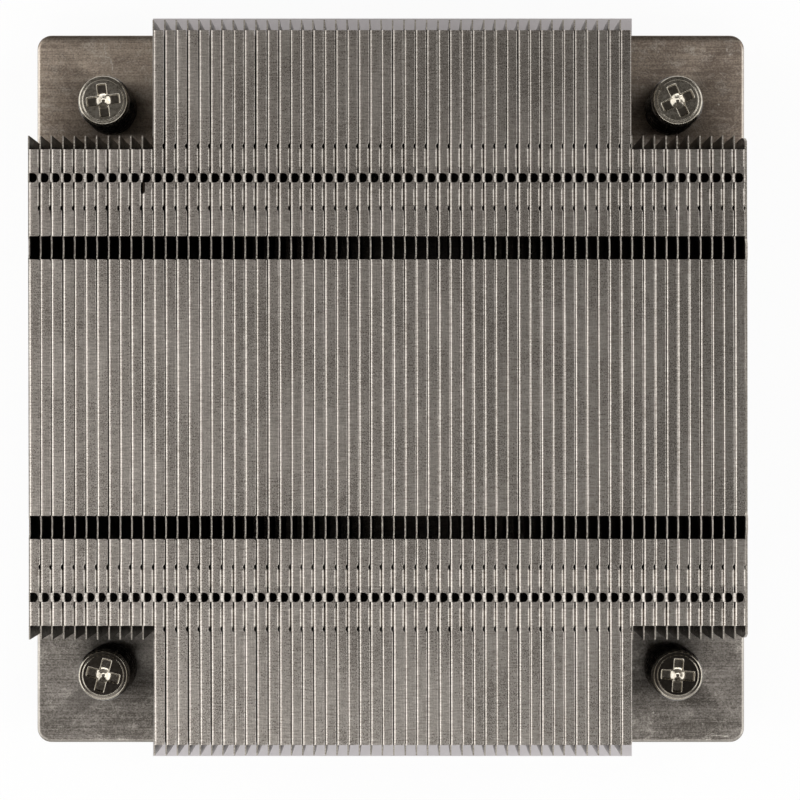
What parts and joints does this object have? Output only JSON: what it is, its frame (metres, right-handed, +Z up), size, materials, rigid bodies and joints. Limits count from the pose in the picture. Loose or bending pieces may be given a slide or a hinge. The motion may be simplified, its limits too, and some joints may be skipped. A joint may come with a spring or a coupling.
{
  "type": "passive server cpu heatsink",
  "caption": "Low passive heat sink: a square base plate under a stack of upright folded sheet fins that hook into each other along their tops, with a captive spring screw at each corner.",
  "frame": {"origin": "centre of the contact face under the base plate, which lies on the processor", "axes": "+Z up from the contact face through the fins, +Y along the fins and the air flow, +X across the fins"},
  "size_m": [0.095, 0.095, 0.0318],
  "materials": {
    "plate": "brushed nickel plating with handling scratches",
    "fins": "satin nickel plating",
    "screws": "bright zinc plating",
    "rings": "dark spring steel",
    "springs": "dark spring steel"
  },
  "bodies": {
    "heat_sink": {"base_plate": "plate", "fin_end": "fins", "fin_first": "fins", "fins_left_01": "fins", "fins_left_02": "fins", "fins_left_03": "fins", "fins_left_04": "fins", "fins_left_05": "fins", "fins_long_01": "fins", "fins_long_02": "fins", "fins_long_03": "fins", "fins_long_04": "fins", "fins_long_05": "fins", "fins_long_06": "fins", "fins_long_07": "fins", "fins_long_08": "fins", "fins_long_09": "fins", "fins_long_10": "fins", "fins_long_11": "fins", "fins_long_12": "fins", "fins_long_13": "fins", "fins_long_14": "fins", "fins_long_15": "fins", "fins_long_16": "fins", "fins_long_17": "fins", "fins_long_18": "fins", "fins_long_19": "fins", "fins_long_20": "fins", "fins_long_21": "fins", "fins_right_01": "fins", "fins_right_02": "fins", "fins_right_03": "fins", "fins_right_04": "fins", "fins_right_05": "fins", "spring_back_left": "springs", "spring_back_right": "springs", "spring_front_left": "springs", "spring_front_right": "springs"},
    "retainer_back_left": {"ring_back_left": "rings"},
    "fastener_back_left": {"screw_back_left": "screws"},
    "retainer_back_right": {"ring_back_right": "rings"},
    "fastener_back_right": {"screw_back_right": "screws"},
    "retainer_front_left": {"ring_front_left": "rings"},
    "fastener_front_left": {"screw_front_left": "screws"},
    "retainer_front_right": {"ring_front_right": "rings"},
    "fastener_front_right": {"screw_front_right": "screws"}
  },
  "joints": [
    {"name": "press_back_left", "type": "slide", "parent": "heat_sink", "child": "retainer_back_left", "axis": [0, 0, -1], "range_m": [0, 0.004], "stiffness_N_per_m": 2500, "springref_m": -0.003, "deforming": ["spring_back_left"]},
    {"name": "turn_back_left", "type": "hinge", "parent": "retainer_back_left", "child": "fastener_back_left", "pos_m": [-0.0375, 0.0375, 0.01], "axis": [0, 0, 1], "continuous": true},
    {"name": "press_back_right", "type": "slide", "parent": "heat_sink", "child": "retainer_back_right", "axis": [0, 0, -1], "range_m": [0, 0.004], "stiffness_N_per_m": 2500, "springref_m": -0.003, "deforming": ["spring_back_right"]},
    {"name": "turn_back_right", "type": "hinge", "parent": "retainer_back_right", "child": "fastener_back_right", "pos_m": [0.0375, 0.0375, 0.01], "axis": [0, 0, 1], "continuous": true},
    {"name": "press_front_left", "type": "slide", "parent": "heat_sink", "child": "retainer_front_left", "axis": [0, 0, -1], "range_m": [0, 0.004], "stiffness_N_per_m": 2500, "springref_m": -0.003, "deforming": ["spring_front_left"]},
    {"name": "turn_front_left", "type": "hinge", "parent": "retainer_front_left", "child": "fastener_front_left", "pos_m": [-0.0375, -0.0375, 0.01], "axis": [0, 0, 1], "continuous": true},
    {"name": "press_front_right", "type": "slide", "parent": "heat_sink", "child": "retainer_front_right", "axis": [0, 0, -1], "range_m": [0, 0.004], "stiffness_N_per_m": 2500, "springref_m": -0.003, "deforming": ["spring_front_right"]},
    {"name": "turn_front_right", "type": "hinge", "parent": "retainer_front_right", "child": "fastener_front_right", "pos_m": [0.0375, -0.0375, 0.01], "axis": [0, 0, 1], "continuous": true}
  ]
}
